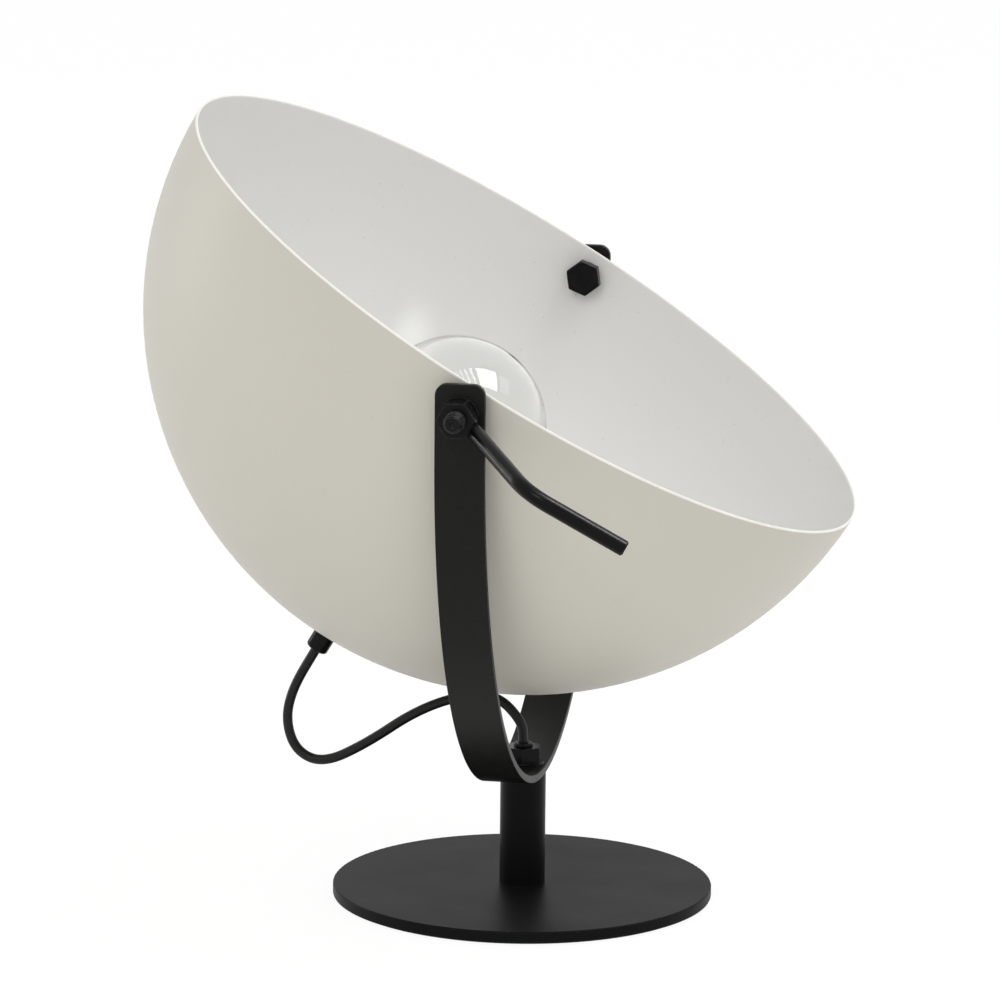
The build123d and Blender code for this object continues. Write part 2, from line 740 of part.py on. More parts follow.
# --------------------------------------------------------------------- all pieces
pieces = {
    "foot_pad": foot_pad(),
    "base_plate": base_plate(),
    "base_screw": base_screw(),
    "post_tube": post_tube(),
    "post_foot_plug": post_foot_plug(),
    "post_top_plug": post_top_plug(),
    "outlet_bush": outlet_bush(),
    "hollow_stud": hollow_stud(),
    "yoke": yoke(),
    "saddle_washer": saddle_washer(),
    "gland_nut": gland_nut(),
    "cable_bush": cable_bush(),
    "arm_washer_lever_side": arm_washer(lever_side),
    "arm_washer_plain_side": arm_washer(plain_side),
    "shade": shade(),
    "pivot_bolt_lever_side": pivot_bolt(lever_side, bolt_proud_lever_side,
                                        lever_side_head_turn),
    "pivot_bolt_plain_side": pivot_bolt(plain_side, bolt_proud_plain_side,
                                        plain_side_head_turn),
    "head_collar_lever_side": head_collar(lever_side),
    "head_collar_plain_side": head_collar(plain_side),
    "pivot_spacer_lever_side": pivot_spacer(lever_side),
    "pivot_spacer_plain_side": pivot_spacer(plain_side),
    "friction_washer_lever_side": friction_washer(lever_side),
    "friction_washer_plain_side": friction_washer(plain_side),
    "lock_nut": lock_nut(),
    "lever_nut": lever_nut(),
    "lever_rod": lever_rod(),
    "cord_grip": cord_grip(),
    "grip_screw": grip_screw(),
    "holder_washer": holder_washer(),
    "holder_cap": holder_cap(),
    "holder_body": holder_body(),
    "contact_block": contact_block(),
    "centre_contact": centre_contact(),
    "side_contact": side_contact(),
    "terminal_screws": terminal_screws(),
    "lead_cores": lead_cores(),
    "bulb_glass": bulb_glass(),
    "bulb_cap": bulb_cap(),
    "bulb_insulator": bulb_insulator(),
    "bulb_tip": bulb_tip(),
    "bulb_stem": bulb_stem(),
    "bulb_wires": bulb_wires(),
    "bulb_filament": bulb_filament(),
    "cable": cable(),
}

os.makedirs("parts", exist_ok=True)
for name, piece in pieces.items():
    export_step(piece, f"parts/{name}.step")
print("pivot height", round(pivot_height, 3), "rim centre", rim_centre)
print(len(pieces), "pieces written")
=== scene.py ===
# %% [markdown]
# # A tabletop searchlight lamp
# A spun white bowl hangs on two bolts in a black flat-bar yoke.  The yoke stands on a
# short post and a disc base, and a bent rod on one side clamps the tilt.
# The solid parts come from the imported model.  This file gives them their finishes and
# adds what a lathe or a saw wouldn't show: threads, a weld, the glass bulb, the cable.

# %% Load the solid parts
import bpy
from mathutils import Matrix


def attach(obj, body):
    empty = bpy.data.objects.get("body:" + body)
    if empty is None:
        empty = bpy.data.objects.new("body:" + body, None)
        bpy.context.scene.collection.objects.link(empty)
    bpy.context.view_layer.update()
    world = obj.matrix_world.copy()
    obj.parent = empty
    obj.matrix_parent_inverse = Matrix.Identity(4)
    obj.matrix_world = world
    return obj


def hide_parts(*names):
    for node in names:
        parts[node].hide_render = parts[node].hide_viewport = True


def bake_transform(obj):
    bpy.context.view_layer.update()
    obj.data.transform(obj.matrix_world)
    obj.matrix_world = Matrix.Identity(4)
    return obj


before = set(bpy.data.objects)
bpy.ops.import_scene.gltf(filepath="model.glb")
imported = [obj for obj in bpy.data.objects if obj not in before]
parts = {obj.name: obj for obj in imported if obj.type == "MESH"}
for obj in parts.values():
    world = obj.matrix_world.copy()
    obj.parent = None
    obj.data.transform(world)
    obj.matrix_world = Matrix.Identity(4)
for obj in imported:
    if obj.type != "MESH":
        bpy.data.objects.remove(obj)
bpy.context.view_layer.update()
import math
import bpy
from mathutils import Matrix, Vector

# %% [markdown]
# ## Where things are
# Every piece is placed from the same few facts: the tilt axis, the direction the bowl
# faces, and the middle of its rim.  A frame for the bowl and one for each end of the
# tilt axis turn local shapes into place, so each shape can be drawn round its own axis.

# %% Places and local frames
mm = 0.001
tilt = math.radians(31.0)
pivot = Vector((0, 0, 297.971)) * mm
bowl_axis = Vector((0, -math.sin(tilt), math.cos(tilt)))
upper_lip = Vector((0, math.cos(tilt), math.sin(tilt)))
rim_centre = pivot + bowl_axis * 14 * mm + upper_lip * 8 * mm


def local_frame(origin, x_axis, z_axis):
    """A matrix whose local Z runs along z_axis from origin."""
    x_axis, z_axis = Vector(x_axis), Vector(z_axis)
    y_axis = z_axis.cross(x_axis)
    turn = Matrix((x_axis, y_axis, z_axis)).transposed().to_4x4()
    return Matrix.Translation(origin) @ turn


in_bowl = local_frame(rim_centre, (1, 0, 0), bowl_axis)
at_lever_end = local_frame(pivot, (0, -1, 0), (-1, 0, 0))
at_plain_end = local_frame(pivot, (0, -1, 0), (1, 0, 0))
print("rim centre", [round(v / mm, 2) for v in rim_centre])

# %% [markdown]
# ## Camera
# A long lens from far away keeps the bowl round and the base flat, as in a catalogue.
# The camera is made from three directions: back, right and up.  A turn about `back`
# levels the base, and the lens is in millimetres for a 36 mm wide sensor.

# %% Camera
def camera_at(azimuth, elevation, distance, target, lens, roll):
    """A camera that looks at target; azimuth 0 looks along +Y, 90 along -X."""
    a, e, r = (math.radians(v) for v in (azimuth, elevation, roll))
    back = Vector((math.sin(a) * math.cos(e), -math.cos(a) * math.cos(e), math.sin(e)))
    right = Vector((math.cos(a), math.sin(a), 0.0))
    up = back.cross(right)
    right, up = (right * math.cos(r) + up * math.sin(r),
                 up * math.cos(r) - right * math.sin(r))
    data = bpy.data.cameras.new("view")
    data.lens = lens
    data.sensor_width = 36.0
    data.clip_start, data.clip_end = 0.05, 200.0
    eye = bpy.data.objects.new("view", data)
    turn = Matrix((right, up, back)).transposed().to_4x4()
    eye.matrix_world = Matrix.Translation(Vector(target) + back * distance) @ turn
    bpy.context.scene.collection.objects.link(eye)
    bpy.context.scene.camera = eye


camera_at(azimuth=-80.70, elevation=11.887, distance=3.4793,
          target=(0.0, 0.013763, 0.212549), lens=239.55, roll=0.549)
bpy.context.scene.view_settings.view_transform = "Standard"
view_line = -bpy.context.scene.camera.matrix_world.col[2].xyz
print("camera looks along", [round(v, 3) for v in view_line])

# %% [markdown]
# ## Writing nodes as sums
# A finish is easier to read as arithmetic than as boxes and noodles.  This small class
# holds one output socket.  Adding or multiplying two of them makes the Math node, and
# `Wire.node` makes any other node from its settings and its socket values.  It works in
# a material and in a Geometry Nodes tree alike.

# %% The Wire class
class Wire:
    """One socket that can be added, subtracted, multiplied and divided."""

    def __init__(self, tree, socket):
        self.tree = tree
        self.socket = socket

    @classmethod
    def node(cls, tree, kind, settings=None, values=None, out=0):
        made = tree.nodes.new(kind)
        for name, value in (settings or {}).items():
            setattr(made, name, value)
        for name, value in (values or {}).items():
            if isinstance(value, Wire):
                tree.links.new(value.socket, made.inputs[name])
            else:
                made.inputs[name].default_value = value
        return cls(tree, made.outputs[out])

    def math(self, operation, other=0.0):
        return Wire.node(self.tree, "ShaderNodeMath", {"operation": operation},
                         {0: self, 1: other})

    def __add__(self, other):
        return self.math("ADD", other)

    def __sub__(self, other):
        return self.math("SUBTRACT", other)

    def __rsub__(self, other):
        return self.math("SUBTRACT", other) * -1.0

    def __mul__(self, other):
        return self.math("MULTIPLY", other)

    def __truediv__(self, other):
        return self.math("DIVIDE", other)

    __radd__ = __add__
    __rmul__ = __mul__


print("Wire is ready")

# %% [markdown]
# ## Helpers for finishes
# Every finish starts from one Principled shader and adds grain, blends and bumps to it.
# `on_edges` finds sharp edges, where finishes paint a paler highlight, and `seen_directly`
# tells the rays that show a surface to the eye from those that only carry light.

# %% Helpers that every finish uses
def new_finish(name):
    """A material with one Principled shader; gives the material, its tree and shader."""
    material = bpy.data.materials.new(name)
    material.use_nodes = True
    tree = material.node_tree
    return material, tree, tree.nodes["Principled BSDF"]


def place_of(tree):
    return Wire.node(tree, "ShaderNodeTexCoord", out="Object")


def noise(tree, place, per_metre, detail, roughness=0.5):
    return Wire.node(tree, "ShaderNodeTexNoise", None,
                     {"Vector": place, "Scale": per_metre, "Detail": detail,
                      "Roughness": roughness})


def blend_colours(tree, factor, first, second):
    """Colour first where factor is 0 and second where it is 1; either may be a Wire."""
    colours = [c if isinstance(c, Wire) else (*c, 1.0) for c in (first, second)]
    return Wire.node(tree, "ShaderNodeMix", {"data_type": "RGBA"},
                     {0: factor, 6: colours[0], 7: colours[1]}, out=2)


def feed(tree, shader, **wires):
    """Links wires to shader sockets, with an underscore for each space in a name."""
    for name, wire in wires.items():
        tree.links.new(wire.socket, shader.inputs[name.replace("_", " ")])


def bumped(tree, shader, height, depth, strength):
    bump = Wire.node(tree, "ShaderNodeBump", None,
                     {"Height": height, "Distance": depth, "Strength": strength})
    tree.links.new(bump.socket, shader.inputs["Normal"])


edge_contrast = 5.0


def on_edges(tree, radius):
    """1 on sharp edges and 0 on flats: how far a rounded-off normal leaves the true one."""
    rounded = Wire.node(tree, "ShaderNodeBevel", {"samples": 6}, {"Radius": radius})
    normal = Wire.node(tree, "ShaderNodeNewGeometry", out="Normal")
    same = Wire.node(tree, "ShaderNodeVectorMath", {"operation": "DOT_PRODUCT"},
                     {0: rounded, 1: normal}, out="Value")
    return ((1.0 - same) * edge_contrast).math("MINIMUM", 1.0)


def end_in(tree, shader):
    tree.links.new(shader.socket, tree.nodes["Material Output"].inputs["Surface"])


def seen_directly(tree):
    """1 for rays that show a surface to the eye, straight on or in gloss and glass."""
    path = Wire.node(tree, "ShaderNodeLightPath").socket.node
    camera, glossy, through = (Wire(tree, path.outputs[name]) for name in
                               ("Is Camera Ray", "Is Glossy Ray", "Is Transmission Ray"))
    return camera + glossy + through


print("helpers are ready")

# %% [markdown]
# ## Black finishes
# The base, the post and the yoke are powder coated.  Powder melts into a fine, slightly
# pebbled skin that scatters nearly everything, so the surface stays dark even where
# it faces a bright wall, and the shader's specular level is set low.
# The nuts and bolts are chemically blackened, which is thinner and smoother.  The lever
# is a bare bar with a sprayed gloss coat, and its long highlight says so.
# Sharp edges catch light, and that highlight is painted in: powder reads a little paler
# there, and blackened steel shows paler patches, part rubbed bare metal, part highlight.

# %% Powder coat
powder_edge_radius = 0.7 * mm
# paler tone for the painted edge highlight on powder coat
powder_edge_highlight = (0.024, 0.024, 0.023)


def powder_coat(name, colour, glint, depth, gloss, rough):
    material, tree, shader = new_finish(name)
    place = place_of(tree)
    grain = noise(tree, place, 900, 3.0, 0.6)
    pebble = Wire.node(tree, "ShaderNodeTexVoronoi", {"feature": "SMOOTH_F1"},
                       {"Vector": place, "Scale": 1150.0})
    cloud = noise(tree, place, 22, 2.0)
    skin = blend_colours(tree, grain * 0.8 + cloud * 0.2, colour, glint)
    # sharp edges are painted paler here: a painted highlight where edges catch light
    edges = on_edges(tree, powder_edge_radius)
    feed(tree, shader, Base_Color=blend_colours(tree, edges, skin, powder_edge_highlight),
         Roughness=rough + cloud * 0.10 + grain * 0.10)
    shader.inputs["Specular IOR Level"].default_value = gloss
    bumped(tree, shader, grain * 0.5 + pebble * 0.5, depth, 0.7)
    return material


yoke_coat = powder_coat("yoke_powder_coat", (0.002, 0.002, 0.0018), (0.013, 0.013, 0.012),
                        depth=0.00006, gloss=0.13, rough=0.34)
post_coat = powder_coat("post_powder_coat", (0.001, 0.001, 0.001), (0.006, 0.006, 0.006),
                        depth=0.00004, gloss=0.08, rough=0.28)
base_coat = powder_coat("base_powder_coat", (0.001, 0.0012, 0.0011),
                        (0.008, 0.009, 0.0085), depth=0.00005, gloss=0.055, rough=0.34)
print("powder coats:", yoke_coat.name, post_coat.name, base_coat.name)


# %% Blackened steel
lit_worn_edge_radius = 0.3 * mm
# paler metal for edge patches: part rubbed bare, part painted highlight
bare_steel_and_highlight = (0.16, 0.16, 0.155)


def blackened_steel():
    """Black with a thin smear, and paler edge patches: rubbed metal and painted highlight.
    """
    material, tree, shader = new_finish("blackened_steel")
    place = place_of(tree)
    smear = noise(tree, place, 260, 3.0, 0.6)
    stretched = Wire.node(tree, "ShaderNodeMapping", None,
                          {"Vector": place, "Scale": (4.0, 1.0, 1.0)})
    scratch = noise(tree, stretched, 1400, 2.0)
    black = blend_colours(tree, smear, (0.004, 0.004, 0.004), (0.009, 0.009, 0.0092))
    # edge patches painted paler: part rubbed bare metal, part painted highlight
    wear_and_highlight = on_edges(tree, lit_worn_edge_radius) * (smear * 1.2).math("MINIMUM", 1.0)
    feed(tree, shader, Base_Color=blend_colours(tree, wear_and_highlight, black, bare_steel_and_highlight),
         Roughness=0.18 + smear * 0.14)
    shader.inputs["Specular IOR Level"].default_value = 0.09
    bumped(tree, shader, smear * 0.6 + scratch * 0.4, 0.00003, 0.6)
    return material


hardware_black = blackened_steel()
print("made", hardware_black.name)


# %% Lever gloss
def lever_gloss():
    """Sprayed black with soft runs and a few specks of dust under the coat."""
    material, tree, shader = new_finish("lever_gloss_black")
    place = place_of(tree)
    runs = noise(tree, place, 160, 2.0)
    specks = noise(tree, place, 1300, 1.0).math("GREATER_THAN", 0.70)
    feed(tree, shader,
         Base_Color=blend_colours(tree, runs, (0.002, 0.002, 0.002), (0.004, 0.004, 0.004)),
         Roughness=0.17 + runs * 0.12 + specks * 0.2)
    shader.inputs["Specular IOR Level"].default_value = 0.11
    bumped(tree, shader, runs * 0.7 + specks * 0.3, 0.00006, 0.6)
    return material


lever_black = lever_gloss()
print("made", lever_black.name)

# %% [markdown]
# ## White bowl
# The bowl is spun from sheet and painted off-white with a satin sheen.  The outside is
# painted darker and creamier than the reflector side, as painted shade and colour cast,
# and the rim has a painted highlight, a bright line.  The side follows from how far a
# point is from the middle of the rim, and the rim from how high it lies along the bowl's
# axis.  Satin mirrors only broad, blurred shapes, so its roughness matters more than its
# colour, and a faint orange peel keeps it from looking like plastic.

# %% Satin off-white paint
shade_middle_radius = 199.4 * mm
# depth of the rim band that gets the painted highlight
rim_highlight_band = -0.5 * mm


def bowl_paint():
    material, tree, shader = new_finish("satin_off_white")
    place = place_of(tree)
    reach = Wire.node(tree, "ShaderNodeVectorMath", {"operation": "DISTANCE"},
                      {0: place, 1: tuple(rim_centre)}, out="Value")
    outside = reach.math("GREATER_THAN", shade_middle_radius)
    along = Wire.node(tree, "ShaderNodeVectorMath", {"operation": "DOT_PRODUCT"},
                      {0: place, 1: tuple(bowl_axis)}, out="Value")
    # the rim band is painted brighter: a painted highlight on the rim
    rim = (along - rim_centre.dot(bowl_axis)).math("GREATER_THAN", rim_highlight_band)
    cloud = noise(tree, place, 9, 2.0)
    peel = noise(tree, place, 420, 2.0)
    dust = noise(tree, place, 520, 0.0).math("GREATER_THAN", 0.835)
    reflector = blend_colours(tree, cloud, (0.745, 0.741, 0.722), (0.763, 0.759, 0.740))
    # the outside is painted darker and creamier than the inside: painted shade and colour
    # cast
    shaded_cream = blend_colours(tree, cloud, (0.566, 0.545, 0.487), (0.583, 0.562, 0.504))
    sides = blend_colours(tree, outside, reflector, shaded_cream)
    # the rim's painted highlight colour
    whole = blend_colours(tree, rim, sides, (0.85, 0.84, 0.80))
    feed(tree, shader,
         Base_Color=blend_colours(tree, dust * 0.25, whole, (0.45, 0.43, 0.38)),
         Roughness=0.40 + cloud * 0.06)
    shader.inputs["Specular IOR Level"].default_value = 0.12
    bumped(tree, shader, peel, 0.00003, 0.35)
    return material


bowl_white = bowl_paint()
print("made", bowl_white.name)

# %% [markdown]
# ## Small finishes
# Rubber and cable sheath are dull, the lampholder is moulded, and the electrical
# pieces are plain metal.  One recipe with a few numbers makes them all.  Each keeps a
# little grain in colour and sheen, because nothing real is one flat value.

# %% Plain finishes from one recipe
def plain_finish(name, dark, light, rough, per_metre, depth, metal=0.0, gloss=0.5):
    material, tree, shader = new_finish(name)
    grain = noise(tree, place_of(tree), per_metre, 3.0, 0.6)
    feed(tree, shader, Base_Color=blend_colours(tree, grain, dark, light),
         Roughness=rough + grain * 0.15)
    shader.inputs["Metallic"].default_value = metal
    shader.inputs["Specular IOR Level"].default_value = gloss
    bumped(tree, shader, grain, depth, 0.5)
    return material


rubber_black = plain_finish("black_rubber", (0.008, 0.008, 0.008), (0.018, 0.018, 0.018),
                            0.70, 700, 0.00006, gloss=0.2)
sheath_black = plain_finish("cable_sheath", (0.004, 0.004, 0.004), (0.009, 0.009, 0.0085),
                            0.36, 500, 0.00004, gloss=0.25)
moulded_black = plain_finish("moulded_lampholder", (0.010, 0.010, 0.010),
                             (0.018, 0.018, 0.018), 0.25, 300, 0.00002, gloss=0.4)
zinc_steel = plain_finish("zinc_steel", (0.42, 0.42, 0.41), (0.52, 0.52, 0.50), 0.28, 900,
                          0.00003, 1.0)
contact_brass = plain_finish("contact_brass", (0.66, 0.47, 0.19), (0.76, 0.57, 0.26), 0.25,
                             600, 0.00002, 1.0)
nickel = plain_finish("nickelled_shell", (0.58, 0.56, 0.51), (0.68, 0.66, 0.61), 0.20, 500,
                      0.00002, 1.0)
glazed_black = plain_finish("cap_insulator", (0.015, 0.015, 0.018), (0.030, 0.030, 0.034),
                            0.10, 400, 0.00002)
core_jacket = plain_finish("core_jacket", (0.16, 0.07, 0.03), (0.24, 0.11, 0.05), 0.40, 600,
                           0.00002)
drawn_wire = plain_finish("drawn_wire", (0.30, 0.28, 0.25), (0.42, 0.40, 0.36), 0.30, 900,
                          0.00001, 1.0)
print("nine small finishes made")

# %% [markdown]
# ## Clear glass
# The bulb is blown, so its wall isn't quite even, and a slow bump bends what is seen
# through it. Its index is set below that of real glass.

# %% Clear glass
def clear_glass():
    """Blown glass.  Shadow rays go straight through, as light through a thin wall does."""
    material, tree, shader = new_finish("clear_glass")
    ripple = noise(tree, place_of(tree), 55, 1.0)
    shader.inputs["Base Color"].default_value = (0.965, 0.967, 0.962, 1.0)
    shader.inputs["Roughness"].default_value = 0.0
    shader.inputs["IOR"].default_value = 1.30
    shader.inputs["Transmission Weight"].default_value = 1.0
    bumped(tree, shader, ripple, 0.0004, 0.10)
    shadow = Wire.node(tree, "ShaderNodeLightPath", out="Is Shadow Ray")
    clear = Wire.node(tree, "ShaderNodeBsdfTransparent", None,
                      {"Color": (0.96, 0.965, 0.96, 1.0)})
    end_in(tree, Wire.node(tree, "ShaderNodeMixShader", None,
                           {0: shadow, 1: Wire(tree, shader.outputs[0]), 2: clear}))
    return material


glass = clear_glass()
print("made", glass.name)

# %% [markdown]
# ## Dressing the solid parts
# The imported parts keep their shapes.  Each gets the finish of what it is made of.

# %% Which part has which finish
dressing = {
    yoke_coat: ["yoke"],
    post_coat: ["post_tube"],
    base_coat: ["base_plate"],
    hardware_black: [
        "hollow_stud", "saddle_washer", "gland_nut", "arm_washer_lever_side",
        "arm_washer_plain_side", "pivot_bolt_lever_side", "pivot_bolt_plain_side",
        "head_collar_lever_side", "head_collar_plain_side", "pivot_spacer_lever_side",
        "pivot_spacer_plain_side", "lock_nut", "cord_grip", "holder_washer", "lever_nut"],
    lever_black: ["lever_rod"],
    bowl_white: ["shade"],
    rubber_black: ["foot_pad", "outlet_bush", "friction_washer_lever_side",
                   "friction_washer_plain_side"],
    sheath_black: ["cable", "cable_bush"],
    moulded_black: ["holder_cap", "holder_body", "contact_block"],
    zinc_steel: ["base_screw", "post_foot_plug", "post_top_plug", "grip_screw",
                 "terminal_screws"],
    contact_brass: ["centre_contact", "side_contact"],
    core_jacket: ["lead_cores"],
    nickel: ["bulb_cap", "bulb_tip"],
    glazed_black: ["bulb_insulator"],
    glass: ["bulb_glass", "bulb_stem"],
    drawn_wire: ["bulb_wires", "bulb_filament"],
}
for material, names in dressing.items():
    for name in names:
        part = parts[name]
        part.data.materials.clear()
        part.data.materials.append(material)
undressed = sorted(set(parts) - {name for names in dressing.values() for name in names})
print("parts still without a finish:", undressed)

# %% [markdown]
# ## The cable
# A thin black cable leaves the grip at the back of the bowl, hangs in one loop and
# goes down through the nut into the post.  Its line is a smooth spline, and a round
# tube follows it.

# %% The cable's line
cable_width = 5.2 * mm
cable_corners = [
    (0.10059, 0.14609), (0.11285, 0.12569), (0.1242, 0.1054), (0.1276, 0.0882),
    (0.1219, 0.0718), (0.1070, 0.0660), (0.0840, 0.0780), (0.0570, 0.0975),
    (0.0310, 0.1074), (0.0136, 0.1072), (0.0009, 0.0940), (0.0000, 0.0845),
    (0.0000, 0.0720),
]


def smooth_line(name, corners):
    """A NURBS spline in the plane X = 0 with these (y, z) control points."""
    curve = bpy.data.curves.new(name, "CURVE")
    curve.dimensions = "3D"
    curve.resolution_u = 16
    spline = curve.splines.new("NURBS")
    spline.points.add(len(corners) - 1)
    for point, (y, z) in zip(spline.points, corners):
        point.co = (0.0, y, z, 1.0)
    spline.order_u = 3
    spline.use_endpoint_u = True
    holder = bpy.data.objects.new(name, curve)
    bpy.context.scene.collection.objects.link(holder)
    return holder


def points_along(holder):
    """The points that Blender itself puts along the spline, then the helper is removed."""
    depsgraph = bpy.context.evaluated_depsgraph_get()
    mesh = bpy.data.meshes.new_from_object(holder.evaluated_get(depsgraph))
    points = [v.co.copy() for v in mesh.vertices]
    bpy.data.meshes.remove(mesh)
    bpy.data.objects.remove(holder)
    return points


cable_line = points_along(smooth_line("cable_line", cable_corners))
cable_length = sum((b - a).length for a, b in zip(cable_line, cable_line[1:]))
print("cable points", len(cable_line), "length in mm", round(cable_length / mm, 1))


# %% The cable's tube
def tube_round(name, points, radius, sides, material):
    """A closed round tube along points that lie in the plane X = 0."""
    vertices, faces = [], []
    across = Vector((1, 0, 0))
    for i, point in enumerate(points):
        ahead = points[min(i + 1, len(points) - 1)] - points[max(i - 1, 0)]
        side = across.cross(ahead.normalized())
        for k in range(sides):
            turn = 2 * math.pi * k / sides
            spoke = across * math.cos(turn) + side * math.sin(turn)
            vertices.append(point + spoke * radius)
    for i in range(len(points) - 1):
        for k in range(sides):
            a, b = i * sides + k, i * sides + (k + 1) % sides
            faces.append((a, b, b + sides, a + sides))
    last = (len(points) - 1) * sides
    faces.append(tuple(reversed(range(sides))))
    faces.append(tuple(range(last, last + sides)))
    mesh = bpy.data.meshes.new(name)
    mesh.from_pydata([tuple(v) for v in vertices], [], faces)
    mesh.materials.append(material)
    mesh.polygons.foreach_set("use_smooth", [len(p.vertices) == 4 for p in mesh.polygons])
    piece = bpy.data.objects.new(name, mesh)
    bpy.context.scene.collection.objects.link(piece)
    return piece


loop_cable = tube_round("loop_cable", cable_line, cable_width / 2, 20, sheath_black)
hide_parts("cable")
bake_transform(loop_cable)
print("cable faces", len(loop_cable.data.polygons))

# %% [markdown]
# ## The glass of the bulb
# A blown globe has no edges at all, and clear glass shows every facet of a coarse mesh.
# So the glass is turned here again with many fine steps, outside and inside, and takes
# the place of the plain solid.

# %% A lathe for smooth shells
def lathe(name, outline, steps, place, material):
    """Turns a closed (radius, height) outline round Z; radius 0 makes a pole."""
    vertices, rings = [], []
    for radius, height in outline:
        if radius < 1e-9:
            rings.append([len(vertices)] * steps)
            vertices.append((0.0, 0.0, height))
            continue
        rings.append(list(range(len(vertices), len(vertices) + steps)))
        for k in range(steps):
            turn = 2 * math.pi * k / steps
            vertices.append((radius * math.cos(turn), radius * math.sin(turn), height))
    faces = []
    for low, high in zip(rings, rings[1:] + rings[:1]):
        for k in range(steps):
            corners = [low[k], low[(k + 1) % steps], high[(k + 1) % steps], high[k]]
            corners = list(dict.fromkeys(corners))
            if len(corners) > 2:
                faces.append(corners)
    mesh = bpy.data.meshes.new(name)
    mesh.from_pydata(vertices, [], faces)
    mesh.transform(place)
    mesh.materials.append(material)
    mesh.polygons.foreach_set("use_smooth", [True] * len(mesh.polygons))
    piece = bpy.data.objects.new(name, mesh)
    bpy.context.scene.collection.objects.link(piece)
    return piece


def arc(centre, radius, start, end, steps):
    """Points on an arc from start to end degrees."""
    turns = [math.radians(start + (end - start) * k / steps) for k in range(steps + 1)]
    return [(centre[0] + radius * math.cos(t), centre[1] + radius * math.sin(t))
            for t in turns]


# %% The globe
globe_radius, wall, neck_radius, hollow_radius = 47.5 * mm, 0.8 * mm, 15.2 * mm, 30.0 * mm
globe_height = -73.494 * mm
seal_radius, seal_top_drop, seal_foot_drop = 12.0 * mm, 0.6 * mm, 6.6 * mm
globe_steps, hollow_steps, steps_around = 56, 14, 96
hollow_drop = math.sqrt((globe_radius + hollow_radius) ** 2
                        - (neck_radius + hollow_radius) ** 2)
neck_height = globe_height - hollow_drop
meeting = math.degrees(math.atan2(-hollow_drop, neck_radius + hollow_radius))


def glass_side(inset):
    """Half section from the top pole to the seal, set in from the outside by inset."""
    globe = arc((0, globe_height), globe_radius - inset, 90, meeting, globe_steps)
    globe[0] = (0.0, globe[0][1])
    hollow = arc((neck_radius + hollow_radius, neck_height), hollow_radius + inset,
                 meeting + 180, 180, hollow_steps)
    seal = [(seal_radius - inset, neck_height - seal_top_drop + inset / 2),
            (seal_radius - inset, neck_height - seal_foot_drop)]
    return globe + hollow[1:] + seal


bulb_shell = lathe("bulb_shell", list(reversed(glass_side(0.0))) + glass_side(wall),
                   steps_around, in_bowl, glass)
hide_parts("bulb_glass")
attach(bulb_shell, "bulb")
print("globe faces", len(bulb_shell.data.polygons))

# %% [markdown]
# ## Shapes that follow a rule
# Threads, ribs and a wound filament repeat one small shape, so each is a short Geometry
# Nodes tree with its sizes as named inputs.  `grown` runs a tree on an empty mesh and
# keeps what comes out as a plain mesh, in place.  A thread is then two numbers and not
# two thousand typed corners.

# %% Growing a piece from a tree
def new_tree(name, **sizes):
    """A Geometry Nodes tree with one named input for each size, and those as wires."""
    tree = bpy.data.node_groups.new(name, "GeometryNodeTree")
    for label, kind in sizes.items():
        tree.interface.new_socket(label, in_out="INPUT", socket_type="NodeSocket" + kind)
    tree.interface.new_socket("Geometry", in_out="OUTPUT", socket_type="NodeSocketGeometry")
    given = tree.nodes.new("NodeGroupInput")
    return tree, [Wire(tree, given.outputs[label]) for label in sizes]


def end_tree(tree, geometry, material):
    plain = Wire.node(tree, "GeometryNodeRealizeInstances", None, {"Geometry": geometry})
    coated = Wire.node(tree, "GeometryNodeSetMaterial", None,
                       {"Geometry": plain, "Material": material})
    output = tree.nodes.new("NodeGroupOutput")
    tree.links.new(coated.socket, output.inputs["Geometry"])


def grown(name, tree, place, body, slot, **sizes):
    """Runs a tree on an empty mesh; the result is a plain mesh that rides on a body."""
    piece = bpy.data.objects.new(name, bpy.data.meshes.new(name + "_seed"))
    bpy.context.scene.collection.objects.link(piece)
    modifier = piece.modifiers.new("tree", "NODES")
    modifier.node_group = tree
    for socket in tree.interface.items_tree:
        if socket.in_out == "INPUT":
            modifier[socket.identifier] = sizes[socket.name]
    depsgraph = bpy.context.evaluated_depsgraph_get()
    mesh = bpy.data.meshes.new_from_object(piece.evaluated_get(depsgraph))
    piece.modifiers.remove(modifier)
    mesh.transform(place)
    mesh.name = name
    piece.data = mesh
    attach(piece, body)
    print(name, "faces", len(mesh.polygons))
    return piece


def swept(tree, line, profile, scale=1.0, smooth=True):
    """A closed tube of this profile along a line, with its size scaled on the way."""
    tube = Wire.node(tree, "GeometryNodeCurveToMesh", None,
                     {"Curve": line, "Profile Curve": profile, "Scale": scale,
                      "Fill Caps": True})
    return Wire.node(tree, "GeometryNodeSetShadeSmooth", None,
                     {"Geometry": tube, "Shade Smooth": smooth})


def ring_profile(tree, radius, corners):
    return Wire.node(tree, "GeometryNodeCurvePrimitiveCircle", None,
                     {"Resolution": corners, "Radius": radius})


# %% [markdown]
# ## Bolt threads
# The bolts are M10 with a rolled thread, 1.5 mm from crest to crest.  The solid bolt
# ends in a plain core, and a ridge is wound round it here: a helix that carries a
# square set on its corner.  Z-up normals keep the square's corner pointing outwards
# all the way, and the ridge shrinks almost to nothing over its last turn.

# %% Bolt threads
nut_face = 221.149 * mm
thread_pitch = 1.5 * mm
thread_core, thread_tooth = 4.25 * mm, 0.75 * mm
thread_tuck = 0.4 * mm          # the first turn starts this far inside the nut
thread_stop = 0.5 * mm          # and the helix is this much shorter than the bare end


